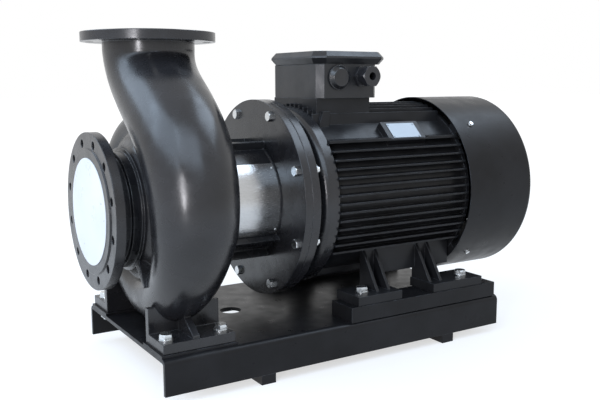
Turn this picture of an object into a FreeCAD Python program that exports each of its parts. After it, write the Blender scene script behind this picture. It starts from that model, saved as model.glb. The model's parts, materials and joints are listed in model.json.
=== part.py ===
import FreeCAD, Part
import os
from math import sin, cos, radians, degrees, sqrt, atan2

# Monoblock end-suction centrifugal pump: a volute pump end on a flanged, foot-mounted motor.
# Everything is drawn about the shaft: x runs from the suction face towards the motor,
# z is up, and the shaft lies on y = 0, z = 0. The export moves it to the floor frame.

V = FreeCAD.Vector
X = V(1, 0, 0)
Y = V(0, 1, 0)
Z = V(0, 0, 1)

# Heights below and above the shaft
pump_foot_drop = 315.0
motor_foot_drop = 280.0
pad_t = 7.0
skirt_h = 89.0
foot_bar_h = 25.0
discharge_h = 450.0

# Suction flange, DN 250 PN 10
suction_bore_r = 125.0
suction_flange_r = 200.0
suction_face_r = 160.0
suction_flange_t = 28.0
suction_pcd_r = 175.0
suction_holes = 12
suction_hole_r = 11.0
face_step = 3.0

# Discharge flange, DN 200 PN 10
discharge_x = 172.0
discharge_bore_r = 100.0
discharge_flange_r = 170.0
discharge_face_r = 134.0
discharge_flange_t = 26.0
discharge_pcd_r = 147.5
discharge_holes = 8
discharge_hole_r = 11.0

# Volute casing
casing_wall = 11.0
spiral_base_r = 160.0
tongue_angle = -40.0
water_angle = 4.0
upper_angle = 60.0
bottom_angle = 180.0
throat_angle = 262.0
tube_tongue_r = 42.0
tube_upper_r = 59.0
tube_bottom_r = 71.0
tube_throat_r = 102.5
slot_half = 29.0
nozzle_swell_r = 119.0
nozzle_waist_r = 108.0
nozzle_collar_r = 116.5
nozzle_collar_h = 21.0
nozzle_pull_low = 0.63
nozzle_pull_high = 0.3
nozzle_level = 0.6          # how far the nozzle's sections are turned level below the flange
mouth_step = 1.0
mouth_reach = 3.0
neck_rib_angle = 141.0
neck_wall = 16.0
ridge_step = 9.0
ridge_1_x = 61.0
ridge_2_x = 87.0
ring_r = 200.0
cover_bolts = 12
cover_bolt_r = 6.0
cover_pcd_r = 186.0
spot_face_r = 13.5
slot_clear = 14.0
gusset_base = 28.0
gusset_tip = 6.0
gusset_rise = 78.0
gusset_len = 46.0
drain_r = 10.5
drain_boss_r = 19.0
drain_boss_out = 8.0

# Impeller
impeller_r = 157.5
eye_r = 112.0
eye_ring_r = 118.0
outlet_w = 52.0
shroud_t = 7.0
vanes = 6
vane_t = 7.0
vane_inlet_r = 62.0
vane_wrap = 95.0
hub_r = 38.0
hub_nose_len = 62.0
eye_len = 39.0
chamber_clear = 14.5
axial_gap = 7.0
wear_gap = 0.4
wear_ring_t = 8.5
wear_ring_w = 22.0
wear_lead = 2.0
key_w = 12.0
key_len = 46.0
key_lead = 8.0
key_seat = 5.0

# Casing cover and shaft seal
cover_reach = 50.0
cover_web = 18.0
cover_flange_t = 18.0
register_gap = 0.2
gasket_w = 4.8
seal_chamber_r = 46.0
seal_seat_r = 40.0
seal_seat_w = 16.0
seal_ring_r = 38.0
seal_ring_w = 18.0

# Lantern between pump and motor
lantern_r = 150.0
lantern_wall = 14.0
lantern_len = 194.0
lantern_front_t = 20.0
lantern_flange_t = 22.0
window_top = 46.0
window_bottom = 123.0
window_margin = 14.0
lantern_fillet = 3.5
guard_t = 1.5
guard_lip = 10.0
guard_over = 0.5
guard_screw_r = 1.5
guard_gap = 0.1
guard_screw_in = 5.0
rib_out = 22.0
rib_t = 9.0

# Motor flange FF500
motor_flange_r = 275.0
motor_flange_t = 24.0
motor_spigot_r = 225.0
motor_spigot_t = 5.0
motor_pcd_r = 250.0
motor_bolts = 8
motor_hole_r = 9.25
motor_bolt_r = 8.0

# Motor frame
frame_x0 = 98.0
frame_len = 456.0
frame_bore_r = 222.5
frame_wall = 13.0
fin_tip_r = 262.0
fin_t = 5.0
fin_pitch = 23.0
side_fins = 6
top_fins = 5
shoulder_r = 254.0
ledge_z = 163.0
foot_c = 190.0
foot_b = 368.0
foot_a = 457.0
motor_foot_t = 25.0
motor_foot_in = 170.0
motor_foot_out = 276.0
motor_foot_lead = 44.0
front_foot_len = 150.0
rear_foot_len = 189.0
rear_foot_lead = 145.0
gusset_pitch = 40.0
gusset_t = 9.0
foot_rail_drop = 224.0
foot_web_t = 12.0

# Rotor and bearings
shaft_impeller_r = 22.0
shaft_seal_r = 26.0
shaft_neck_r = 32.0
shaft_core_r = 50.0
de_bore_r = 42.5
de_outer_r = 90.0
de_width = 41.0
nde_bore_r = 35.0
nde_outer_r = 75.0
nde_width = 35.0
de_lead = 51.0
nde_lead = 18.0
race_balls = 8
ball_share = 0.3
land_share = 0.16
ball_gap = 0.1
air_gap = 1.0
core_len = 260.0
core_shift = 12.0
rotor_r = 148.0
winding_w = 62.0
fan_lead = 100.0
fan_seat_r = 30.0
shaft_tail = 8.0
fan_r = 214.0
fan_w = 78.0
fan_blades = 7
fan_blade_t = 4.0

# Fan cover
fan_cover_r = 275.5
fan_cover_len = 258.0
fan_cover_t = 2.5
fan_cover_lap = 4.0
fan_cover_bend = 14.0
lug_screw_x = 62.0
grille_slots = 18

# Terminal box
box_x = 215.5
box_half_len = 102.5
box_half_wid = 128.0
box_corner = 18.0
box_wall = 6.0
collar_shift = -11.5
collar_half_len = 91.0
collar_half_wid = 115.0
collar_top = 278.0
box_h = 92.0
gasket_t = 2.0
lid_shift = 9.0
lid_half_len = 124.5
lid_half_wid = 140.0
lid_corner = 30.0
lid_h = 35.0
lid_screw_in = 20.0
lid_screw_r = 3.0
gland_x = 41.5
gland_z = 60.0
gland_r = 29.0
gland_bore_r = 11.0
plug_x = -36.5
plug_z = 57.0
plug_r = 35.0
stud_r = 4.0

# Base frame
base_x0 = 78.0
base_len = 1083.0
base_half_wid = 282.0
base_t = 10.0
base_bend_r = 16.0
grout_hole_r = 30.0
grout_x = 398.0
foot_bar_w = 41.0
foot_bar_front = 357.5
foot_bar_pitch = 605.0
anchor_spread = 460.0
anchor_hole_r = 9.0
packer_x0 = 617.0
packer_len = 532.0
packer_wid = 96.0

# Pump foot
pump_foot_x = 179.0
pump_foot_len = 190.0
pump_foot_out = 262.0
pump_foot_in = 150.0
pump_foot_t = 25.0
pump_bolt_pitch = 146.0
pump_bolt_spread = 450.0
web_t = 18.0
foot_bolt_r = 10.0

# Small parts
clear = 0.3
plate_x = 374.0
plate_angle = 43.5
plate_size = (100.0, 55.0)
plate_t = 1.2

# Places that follow from the sizes
base_top = -(pump_foot_drop + pad_t)
shaft_height = -base_top + skirt_h + foot_bar_h
origin_x = foot_bar_front + foot_bar_pitch / 2
spiral_bore_r = spiral_base_r + casing_wall
chamber_r = impeller_r + chamber_clear
cover_face_x = discharge_x + outlet_w / 2 + shroud_t + axial_gap
casing_back_x = cover_face_x + cover_reach
lantern_x = casing_back_x + cover_flange_t
lantern_flange_x = lantern_x + lantern_len
motor_x = lantern_flange_x + lantern_flange_t
frame_x = motor_x + frame_x0
frame_end = frame_x + frame_len
core_mid = frame_x + frame_len / 2 - core_shift
de_x = motor_x + de_lead
nde_x = frame_end + nde_lead
fan_x = frame_end + fan_lead
fan_cover_x = frame_end - fan_cover_lap
fan_cover_end = fan_cover_x + fan_cover_len
shaft_end = fan_x + fan_w + shaft_tail
neck_r = suction_bore_r + neck_wall
eye_x = discharge_x - outlet_w / 2 - shroud_t - eye_len
wear_x = eye_x - wear_lead


def block(x0, x1, y0, y1, z0, z1):
    return Part.makeBox(x1 - x0, y1 - y0, z1 - z0, V(x0, y0, z0))


def rod(x0, x1, r, y=0.0, z=0.0):
    return Part.makeCylinder(r, x1 - x0, V(x0, y, z), X)


def post(z0, z1, r, x, y):
    return Part.makeCylinder(r, z1 - z0, V(x, y, z0), Z)


def tube(x0, x1, outer, inner):
    return rod(x0, x1, outer).cut(rod(x0 - 1, x1 + 1, inner))


def turned(*points):
    """Ring turned about the shaft from (x, r) corners; (xm, rm, x, r) is an arc through xm, rm."""
    edges = []
    last = V(points[0][0], 0, points[0][1])
    for point in points[1:] + points[:1]:
        end = V(point[-2], 0, point[-1])
        if len(point) == 4:
            edges.append(Part.Arc(last, V(point[0], 0, point[1]), end).toShape())
        else:
            edges.append(Part.makeLine(last, end))
        last = end
    return Part.Face(Part.Wire(edges)).revolve(V(0, 0, 0), X, 360)


def joined(shapes):
    whole = shapes[0]
    if len(shapes) > 1:
        whole = whole.multiFuse(shapes[1:])
    return whole.removeSplitter()


def fused(shapes):
    """Solids joined one after another, which suits the strongly curved casing."""
    whole = shapes[0]
    for shape in shapes[1:]:
        whole = whole.fuse(shape)
    return whole


def on_circle(radius, count, first=0.0):
    """Places (y, z) on a circle, counted from the top towards +Y."""
    angles = [radians(first + 360.0 * i / count) for i in range(count)]
    return [(radius * sin(a), radius * cos(a)) for a in angles]


def straddled(radius, count):
    """Bolt circle whose holes stand on both sides of the centre lines."""
    return on_circle(radius, count, 180.0 / count)


def turned_to(shape, degrees_from_top):
    """Copy of a shape turned about the shaft, from the top towards +Y."""
    copy = shape.copy()
    copy.rotate(V(0, 0, 0), X, -degrees_from_top)
    return copy


def aimed(shape, place, direction):
    """Copy of a shape drawn along +Z, set at a place with its +Z along a direction."""
    copy = shape.copy()
    copy.Placement = FreeCAD.Placement(place, FreeCAD.Rotation(Z, direction))
    return copy


def hexagon(across, height, bevel=0.0):
    """Hexagonal prism standing on z = 0 with its top corners bevelled."""
    radius = across / sqrt(3)
    corners = [V(radius * cos(radians(60 * i)), radius * sin(radians(60 * i)), 0) for i in range(7)]
    prism = Part.Face(Part.makePolygon(corners)).extrude(V(0, 0, height))
    if bevel:
        cone = Part.makeCone(radius + height - bevel, across / 2, height + radius - across / 2 - bevel)
        cone.translate(V(0, 0, height - (height + radius - across / 2 - bevel)))
        prism = prism.common(cone)
    return prism


def hex_bolt(r, length):
    """Bolt whose head stands on z = 0 with its shank going down."""
    head = hexagon(3.0 * r, 1.25 * r, 0.2 * r)
    shank = Part.makeCylinder(r, length + 1.0, V(0, 0, -length))
    return head.fuse(shank).removeSplitter()


def hex_nut(r):
    return hexagon(3.0 * r, 1.6 * r, 0.2 * r).cut(Part.makeCylinder(r + 0.15, 9 * r, V(0, 0, -r)))


def washer(r):
    disc = Part.makeCylinder(1.85 * r, 0.3 * r)
    return disc.cut(Part.makeCylinder(1.08 * r, r, V(0, 0, -r / 2)))


def grouped(shape, places, direction):
    return Part.makeCompound([aimed(shape, place, direction) for place in places])


# Volute casing


def tube_r(angle):
    """Outer radius of the volute tube: a cubic through its radii at four angles from the tongue."""
    stations = [(0.0, tube_tongue_r), (upper_angle, tube_upper_r), (bottom_angle, tube_bottom_r),
                (throat_angle, tube_throat_r)]
    total = 0.0
    for place, radius in stations:
        share = radius
        for other, _ in stations:
            if other != place:
                share *= (angle - other) / (place - other)
        total += share
    return total


def spiral_centre(angle):
    reach = spiral_base_r + tube_r(angle)
    return V(discharge_x, reach * sin(radians(angle)), reach * cos(radians(angle)))


def nozzle_path(t):
    """Point and direction on the curve from the throat to the discharge flange."""
    start = spiral_centre(throat_angle)
    along = V(0, cos(radians(throat_angle)), -sin(radians(throat_angle)))
    end = V(discharge_x, 0, discharge_h - discharge_flange_t - nozzle_collar_h)
    rise = end.z - start.z
    a = start
    b = start + along * (nozzle_pull_low * rise)
    c = end - Z * (nozzle_pull_high * rise)
    u = 1 - t
    place = a * u ** 3 + b * (3 * t * u * u) + c * (3 * t * t * u) + end * t ** 3
    slope = (b - a) * (3 * u * u) + (c - b) * (6 * t * u) + (end - c) * (3 * t * t)
    return place, slope.normalize()


def circle_at(place, direction, radius):
    """Circle square to a direction, with its seam on the motor side."""
    side = direction.cross(X)
    turn = FreeCAD.Rotation(X, side, direction, "ZXY")
    edge = Part.makeCircle(radius)
    edge.Placement = FreeCAD.Placement(place, turn)
    return Part.Wire([edge])


def spiral_loft(first_angle, inset):
    """Snail-shaped tube up to the throat; inset makes the water passage inside it."""
    rings = []
    steps = 12
    for i in range(steps + 1):
        angle = first_angle + (throat_angle - first_angle) * i / steps
        along = V(0, cos(radians(angle)), -sin(radians(angle)))
        rings.append(circle_at(spiral_centre(angle), along, tube_r(angle) - inset))
    return Part.makeLoft(rings, True, False)


def nozzle_loft(low_inset, high_inset):
    """Swan-neck nozzle from the throat to its collar; the insets are the wall at either end."""
    rings = []
    steps = 6
    for i in range(steps + 1):
        t = i / steps
        u = 1 - t
        radius = tube_throat_r * u ** 3 + 3 * nozzle_swell_r * t * u * u
        radius += 3 * nozzle_waist_r * t * t * u + nozzle_collar_r * t ** 3
        place, along = nozzle_path(t)
        level = nozzle_level * t
        along = (along * (1 - level) + Z * level).normalize()
        rings.append(circle_at(place, along, radius - low_inset * u - high_inset * t))
    return Part.makeLoft(rings, True, False)


def casing_body():
    """Suction flange, stepped neck, side walls and the ring that carries the cover."""
    wall_x = cover_face_x - axial_gap
    front_x = eye_x + wear_ring_w - 4.0
    return turned(
        (0, suction_bore_r - 20), (0, suction_face_r), (face_step, suction_face_r),
        (face_step, suction_flange_r), (suction_flange_t, suction_flange_r),
        (suction_flange_t, neck_r + 8),
        (suction_flange_t + 2.3, neck_r + 2.3, suction_flange_t + 8, neck_r),
        (ridge_1_x, neck_r), (ridge_1_x + 2, neck_r + ridge_step),
        (ridge_2_x - 2, neck_r + ridge_step), (ridge_2_x, neck_r + 2 * ridge_step),
        (ridge_2_x + 7, neck_r + 2 * ridge_step),
        (front_x - 8, chamber_r - 4, front_x, ring_r - 14),
        (front_x + 6, ring_r - 4), (wall_x, ring_r - 4), (wall_x + 8, ring_r),
        (casing_back_x, ring_r), (casing_back_x, suction_bore_r - 20))


def casing_cavity():
    """Suction bore, wear ring seat, impeller chamber and the slot into the volute."""
    seat_end = wear_x + wear_ring_w
    bore = rod(-1, wear_x + 1, suction_bore_r)
    seat = rod(wear_x, seat_end + 3, eye_ring_r + wear_gap + wear_ring_t)
    chamber = rod(seat_end, casing_back_x + 1, chamber_r)
    slot = rod(discharge_x - slot_half, discharge_x + slot_half, spiral_bore_r + slot_clear)
    return fused([bore, seat, chamber, slot])


def casing_foot(side):
    """One foot: flat pad, cradle web under the volute and a stiffening rib."""
    x0 = pump_foot_x - pump_foot_len / 2
    x1 = pump_foot_x + pump_foot_len / 2
    z0 = -pump_foot_drop
    pad = block(x0, x1, pump_foot_in, pump_foot_out, z0, z0 + pump_foot_t)
    web_top = -(spiral_base_r + tube_r(throat_angle / 2))
    web = block(x0, x1, pump_foot_in, pump_foot_in + web_t, z0, web_top)
    corners = [(pump_foot_in, z0), (pump_foot_out - 6, z0), (pump_foot_out - 6, z0 + pump_foot_t + 6),
               (pump_foot_in + web_t, web_top), (pump_foot_in, web_top)]
    points = [V(discharge_x - web_t / 2, y, z) for y, z in corners]
    rib = Part.Face(Part.makePolygon(points + points[:1])).extrude(X * web_t)
    foot = joined([pad, web, rib])
    for x in (-pump_bolt_pitch / 2, pump_bolt_pitch / 2):
        hole = post(z0 - 1, z0 + pump_foot_t + 30, foot_bolt_r + 1.5, pump_foot_x + x, pump_bolt_spread / 2)
        foot = foot.cut(hole)
    if side < 0:
        foot = foot.mirror(V(0, 0, 0), Y)
    return foot


def foot_bridge():
    """Arched web that ties both feet to the belly of the volute."""
    z0 = -pump_foot_drop
    half = pump_foot_in + 2
    low = z0 + 12
    top = -(spiral_base_r + 10)
    web = block(discharge_x - web_t / 2, discharge_x + web_t / 2, -half, half, z0, top)
    bow = half * 1.35
    arch = rod(discharge_x - web_t / 2 - 1, discharge_x + web_t / 2 + 1, bow, 0, low - bow + 4)
    return web.cut(arch)


def neck_gusset():
    """Wedge-shaped rib between the suction neck and the front of the volute tube."""
    low = neck_r + ridge_step
    high = low + gusset_rise
    x = ridge_2_x - 2
    points = [V(x, -gusset_base / 2, low), V(x, gusset_base / 2, low), V(x, gusset_tip / 2, high),
              V(x, -gusset_tip / 2, high)]
    return Part.Face(Part.makePolygon(points + points[:1])).extrude(X * gusset_len)


def volute_casing():
    z1 = discharge_h - discharge_flange_t
    z0 = z1 - nozzle_collar_h
    collar = post(z0, z1 + 1, nozzle_collar_r, discharge_x, 0)
    flange = post(z1, discharge_h - face_step, discharge_flange_r, discharge_x, 0)
    face = post(discharge_h - face_step, discharge_h, discharge_face_r, discharge_x, 0)
    parts = [spiral_loft(tongue_angle, 0.0), nozzle_loft(0.0, 0.0), casing_body(), collar, flange, face]
    boss_z = -spiral_base_r - tube_r(bottom_angle)
    boss_x = discharge_x + tube_r(bottom_angle)
    parts += [casing_foot(1), casing_foot(-1), foot_bridge()]
    parts += [turned_to(neck_gusset(), neck_rib_angle), turned_to(neck_gusset(), -neck_rib_angle)]
    parts.append(rod(boss_x - 12, boss_x + drain_boss_out, drain_boss_r, 0, boss_z))
    mouth = post(z0 - mouth_reach, discharge_h + 1, discharge_bore_r, discharge_x, 0)
    drain = rod(discharge_x, boss_x + drain_boss_out + 1, drain_r + clear, 0, boss_z)
    nozzle_water = nozzle_loft(casing_wall, nozzle_collar_r - discharge_bore_r + mouth_step)
    water = fused([spiral_loft(water_angle, casing_wall), nozzle_water, casing_cavity()])
    casing = fused(parts).cut(water)
    cuts = [mouth, drain]
    for y, z in straddled(suction_pcd_r, suction_holes):
        cuts.append(rod(-1, suction_flange_t + 1, suction_hole_r, y, z))
    for y, x in straddled(discharge_pcd_r, discharge_holes):
        cuts.append(post(z1 - 3, discharge_h + 1, discharge_hole_r, discharge_x + x, y))
    for y, z in straddled(cover_pcd_r, cover_bolts):
        cuts.append(rod(casing_back_x - 26, casing_back_x + 1, cover_bolt_r + clear, y, z))
    for cut in cuts:
        casing = casing.cut(cut)
    return casing.removeSplitter()


def suction_cap():
    """Thin protective disc on the suction face, with a plug rim in the bore."""
    lip = suction_bore_r - 0.5
    return turned(
        (-1.5, 0), (-1.5, 136), (0, 136), (0, lip), (10, lip), (10, lip - 2), (0.5, lip - 2), (0.5, 0))


def wear_ring():
    inner = eye_ring_r + wear_gap
    return tube(wear_x, wear_x + wear_ring_w, inner + wear_ring_t - register_gap / 2, inner)


# Impeller


def vane_blank():
    """One backward-curved vane, tall enough to reach both shrouds."""
    def on_curve(share, offset):
        radius = vane_inlet_r + (impeller_r + 2 - vane_inlet_r) * share
        angle = radians(-vane_wrap * share ** 0.8) + offset / radius
        return V(discharge_x - 60, radius * sin(angle), radius * cos(angle))
    shares = [0.0, 0.25, 0.5, 0.75, 1.0]
    face_1 = Part.BSplineCurve()
    face_1.interpolate([on_curve(s, vane_t / 2) for s in shares])
    face_2 = Part.BSplineCurve()
    face_2.interpolate([on_curve(s, -vane_t / 2) for s in shares])
    nose = Part.makeLine(on_curve(0, -vane_t / 2), on_curve(0, vane_t / 2))
    tail = Part.makeLine(on_curve(1, vane_t / 2), on_curve(1, -vane_t / 2))
    outline = Part.Wire([nose, face_1.toShape(), tail, face_2.toShape()])
    return Part.Face(outline).extrude(X * 100)


def impeller():
    back_x = discharge_x + outlet_w / 2
    front_x = discharge_x - outlet_w / 2
    nose_x = back_x - hub_nose_len
    rear_x = back_x + shroud_t
    hub = turned(
        (nose_x, shaft_impeller_r + 0.02), (nose_x, hub_r - 4), (nose_x + 6, hub_r),
        (back_x - 22, hub_r + 22, back_x - 2, impeller_r * 0.72), (back_x, impeller_r),
        (rear_x, impeller_r), (rear_x, hub_r + 6), (rear_x + 4, hub_r + 2),
        (rear_x + 4, shaft_impeller_r + 0.02))
    shroud = turned(
        (eye_x, eye_r), (front_x - 20, eye_r), (front_x - 7, eye_r + 12, front_x, impeller_r),
        (front_x - shroud_t, impeller_r), (front_x - shroud_t - 6, eye_ring_r + 10, front_x - 24, eye_ring_r),
        (eye_x, eye_ring_r))
    room = turned(
        (front_x - 19, eye_r + 3), (front_x - 9, eye_r + 15, front_x - 3.5, impeller_r),
        (back_x + 3, impeller_r), (back_x + 1, impeller_r * 0.72), (back_x - 20, hub_r + 18))
    vane = vane_blank().common(room)
    parts = [hub, shroud] + [turned_to(vane, 360.0 * i / vanes) for i in range(vanes)]
    whole = joined(parts)
    half = key_w / 2 + clear / 3
    slot = block(nose_x + 4, rear_x, -half, half, 0, shaft_impeller_r + 4 + clear)
    return whole.cut(slot)


def impeller_key():
    x0 = discharge_x + outlet_w / 2 - hub_nose_len + key_lead
    return block(x0, x0 + key_len, -key_w / 2, key_w / 2, shaft_impeller_r - key_seat, shaft_impeller_r + 3.8)


def impeller_nut():
    """Domed cap nut that holds the impeller on the shaft end."""
    seat = discharge_x + outlet_w / 2 - hub_nose_len
    base = aimed(hexagon(50, 16), V(seat, 0, 0), V(-1, 0, 0)).cut(rod(seat - 17, seat + 1, 18))
    dome = turned(
        (seat, 14.1), (seat, 22), (seat - 16, 22), (seat - 27, 17), (seat - 33, 7), (seat - 33, 0),
        (seat - 21, 0), (seat - 21, 14.1))
    return joined([base, dome])


# Cover and shaft seal


def casing_cover():
    """Dished cover that closes the casing and holds the stationary seal seat."""
    x0 = cover_face_x
    x1 = casing_back_x
    rim = chamber_r - register_gap
    seat_x = x1 + 2
    end_x = seat_x + seal_seat_w
    body = turned(
        (x0, seal_chamber_r), (x0, rim), (x1, rim), (x1, ring_r), (x1 + cover_flange_t, ring_r),
        (x1 + cover_flange_t, lantern_r - 12), (x0 + cover_web + 6, lantern_r - 12),
        (x0 + cover_web, lantern_r - 20), (x0 + cover_web + 4, seal_chamber_r + 24),
        (x0 + cover_web + 10, seal_chamber_r + 16), (end_x + 8, seal_chamber_r + 12),
        (end_x + 8, shaft_seal_r + 4), (end_x, shaft_seal_r + 4), (end_x, seal_seat_r),
        (seat_x, seal_seat_r), (seat_x, seal_chamber_r))
    for y, z in straddled(cover_pcd_r, cover_bolts):
        body = body.cut(rod(x1 - 1, x1 + cover_flange_t + 1, cover_bolt_r + 1, y, z))
    return body


def cover_gasket():
    """Sealing ring in the corner between casing and cover."""
    outer = chamber_r - 0.1
    return tube(cover_face_x - gasket_w, cover_face_x, outer, outer - gasket_w)


def seal_seat():
    x0 = casing_back_x + 2
    return turned(
        (x0 - 2, shaft_seal_r + 2), (x0 - 2, seal_seat_r - 3), (x0, seal_seat_r - 3),
        (x0, seal_seat_r - 0.05), (x0 + seal_seat_w, seal_seat_r - 0.05),
        (x0 + seal_seat_w, shaft_seal_r + 2))


def seal_ring():
    x1 = casing_back_x - 0.05
    return turned(
        (x1 - seal_ring_w, shaft_seal_r + 0.02), (x1 - seal_ring_w, seal_ring_r), (x1 - 4, seal_ring_r),
        (x1 - 4, seal_ring_r - 4), (x1, seal_ring_r - 4), (x1, shaft_seal_r + 0.02))


def seal_bellows():
    """Folded rubber bellows that drives the rotary ring and presses it on its seat."""
    x1 = casing_back_x - 0.05 - seal_ring_w
    x0 = discharge_x + outlet_w / 2 + shroud_t + 4
    inner = shaft_seal_r + 0.02
    folds = 3
    step = (x1 - x0 - 8) / folds
    points = [(x0, inner), (x0, inner + 9), (x0 + 4, inner + 9)]
    for i in range(folds):
        points.append((x0 + 4 + step * (i + 0.5), inner + 4))
        points.append((x0 + 4 + step * (i + 1), inner + 9))
    points += [(x1, inner + 9), (x1, inner)]
    return turned(*points)


# Lantern


def sector(x0, x1, reach, first, last):
    """Wedge of space about the shaft between two angles from the top towards -Y."""
    corners = [V(x0, 0, 0)]
    steps = 4
    for i in range(steps + 1):
        angle = radians(first + (last - first) * i / steps)
        corners.append(V(x0, -reach * sin(angle), reach * cos(angle)))
    return Part.Face(Part.makePolygon(corners + corners[:1])).extrude(X * (x1 - x0))


def mirrored(shape):
    return shape.mirror(V(0, 0, 0), Y)


def lantern_window():
    x0 = lantern_x + lantern_front_t + window_margin
    x1 = lantern_flange_x - window_margin
    return sector(x0, x1, motor_flange_r, window_top, window_bottom)


def lantern_rib(angle):
    """Lengthwise rib on the barrel at an angle from the top towards -Y."""
    fin = block(lantern_x + 4, lantern_flange_x + 2, -rib_t / 2, rib_t / 2,
                lantern_r - 6, lantern_r + rib_out)
    return turned_to(fin, -angle)


def lantern():
    front = lantern_x
    back = motor_x
    inner = lantern_r - lantern_wall
    flange_x = lantern_flange_x
    body = turned(
        (front, inner), (front, ring_r), (front + lantern_front_t, ring_r),
        (front + lantern_front_t, lantern_r + lantern_fillet),
        (front + lantern_front_t + lantern_fillet, lantern_r),
        (flange_x - lantern_fillet, lantern_r), (flange_x, lantern_r + lantern_fillet),
        (flange_x, motor_flange_r), (back - 1, motor_flange_r), (back, motor_flange_r - 1),
        (back, motor_spigot_r + register_gap), (back - motor_spigot_t - 1, motor_spigot_r + register_gap),
        (back - motor_spigot_t - 1, inner))
    window = lantern_window()
    body = body.cut(window).cut(mirrored(window))
    ribs = [lantern_rib(angle) for angle in (20, -20, 155, -155, 126.5, -126.5)]
    body = joined([body] + ribs)
    for y, z in straddled(cover_pcd_r, cover_bolts):
        body = body.cut(rod(front - 1, front + lantern_front_t + 1, cover_bolt_r + 1, y, z))
        body = body.cut(rod(front + lantern_front_t, front + lantern_front_t + 12, spot_face_r, y, z))
    for y, z in straddled(motor_pcd_r, motor_bolts):
        body = body.cut(rod(flange_x - 1, back + 1, motor_hole_r, y, z))
    for centre, out in guard_screw_places():
        body = body.cut(Part.makeCylinder(guard_screw_r + clear, 2 * lantern_r, centre, out))
    return body


def guard_screw_places():
    """Centres on the barrel, and outward directions, of the guard screws on both sides."""
    x0 = lantern_x + lantern_front_t + window_margin - guard_lip / 2
    x1 = lantern_flange_x - window_margin + guard_lip / 2
    places = []
    for x in (x0, x1):
        for angle in (window_top + guard_screw_in, window_bottom - guard_screw_in):
            for side in (-1, 1):
                a = radians(angle)
                places.append((V(x, 0, 0), V(0, side * sin(a), cos(a))))
    return places


def guard():
    """Polished sheet bent over the lantern window, on the -Y side."""
    x0 = lantern_x + lantern_front_t + window_margin - guard_lip
    x1 = lantern_flange_x - window_margin + guard_lip
    sheet = tube(x0, x1, lantern_r + guard_gap + guard_t, lantern_r + guard_gap)
    reach = sector(x0 - 1, x1 + 1, lantern_r + 40, window_top - guard_over, window_bottom + guard_over)
    sheet = sheet.common(reach)
    for centre, out in guard_screw_places():
        sheet = sheet.cut(Part.makeCylinder(guard_screw_r + clear, 2 * lantern_r, centre, out))
    return sheet


def guard_screws():
    """Pan-head screws at the corners of both guards."""
    screw = joined([Part.makeCylinder(3.5, 2.4), Part.makeCylinder(guard_screw_r, 9, V(0, 0, -8))])
    shapes = []
    for centre, out in guard_screw_places():
        shapes.append(aimed(screw, centre + out * (lantern_r + guard_gap + guard_t), out))
    return Part.makeCompound(shapes)


# Motor


def drive_end_shield():
    """Flanged end shield with the drive-end bearing seat."""
    x = motor_x
    end = frame_x
    rim = frame_bore_r - register_gap
    body = turned(
        (x - motor_spigot_t, de_outer_r + 10), (x - motor_spigot_t, motor_spigot_r), (x, motor_spigot_r),
        (x, motor_flange_r - 1), (x + 1, motor_flange_r), (x + motor_flange_t, motor_flange_r),
        (x + motor_flange_t, motor_spigot_r + 10), (x + motor_flange_t + 10, motor_spigot_r + 1),
        (end - 46, motor_spigot_r + 3), (end - 40, shoulder_r - 6, end - 28, shoulder_r),
        (end, shoulder_r), (end, rim), (end + 8, rim), (end + 8, rim - 12), (end - 50, rim - 12),
        (x + motor_flange_t + 4, rim - 34), (x + motor_flange_t + 4, de_outer_r + 20),
        (de_x + de_width + 4, de_outer_r + 14), (de_x + de_width + 4, de_outer_r + 0.02),
        (de_x - 2, de_outer_r + 0.02), (de_x - 2, de_outer_r - 18), (x + 12, de_outer_r - 18),
        (x + 12, de_outer_r + 10))
    for y, z in straddled(motor_pcd_r, motor_bolts):
        body = body.cut(rod(x - 1, x + motor_flange_t + 1, motor_hole_r, y, z))
    return body


def bearing_cap(x0, outer, bore):
    """Ring that keeps grease in and the outer race in its seat."""
    return turned(
        (x0, bore + 1), (x0, outer + 8), (x0 + 8, outer + 8), (x0 + 12, outer - 10), (x0 + 12, bore + 1))


def race_pair(x0, bore, outer, width):
    """Inner ring, outer ring and balls of a deep-groove bearing."""
    mid = (bore + outer) / 2
    ball = (outer - bore) * ball_share
    land = (outer - bore) * land_share
    x1 = x0 + width
    groove = Part.makeTorus(mid, ball + ball_gap, V(x0 + width / 2, 0, 0), X)
    inner = tube(x0, x1, mid - land, bore + 0.01).cut(groove)
    ring = tube(x0, x1, outer, mid + land).cut(groove)
    return inner, ring


def ball_set(x0, bore, outer, width):
    """Balls held in a one-piece cage."""
    mid = (bore + outer) / 2
    ball = (outer - bore) * ball_share
    cage = tube(x0 + width * 0.16, x0 + width * 0.84, mid + 3.2, mid - 3.2)
    balls = []
    for y, z in on_circle(mid, race_balls):
        balls.append(Part.makeSphere(ball, V(x0 + width / 2, y, z)))
    return joined([cage] + balls)


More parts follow.
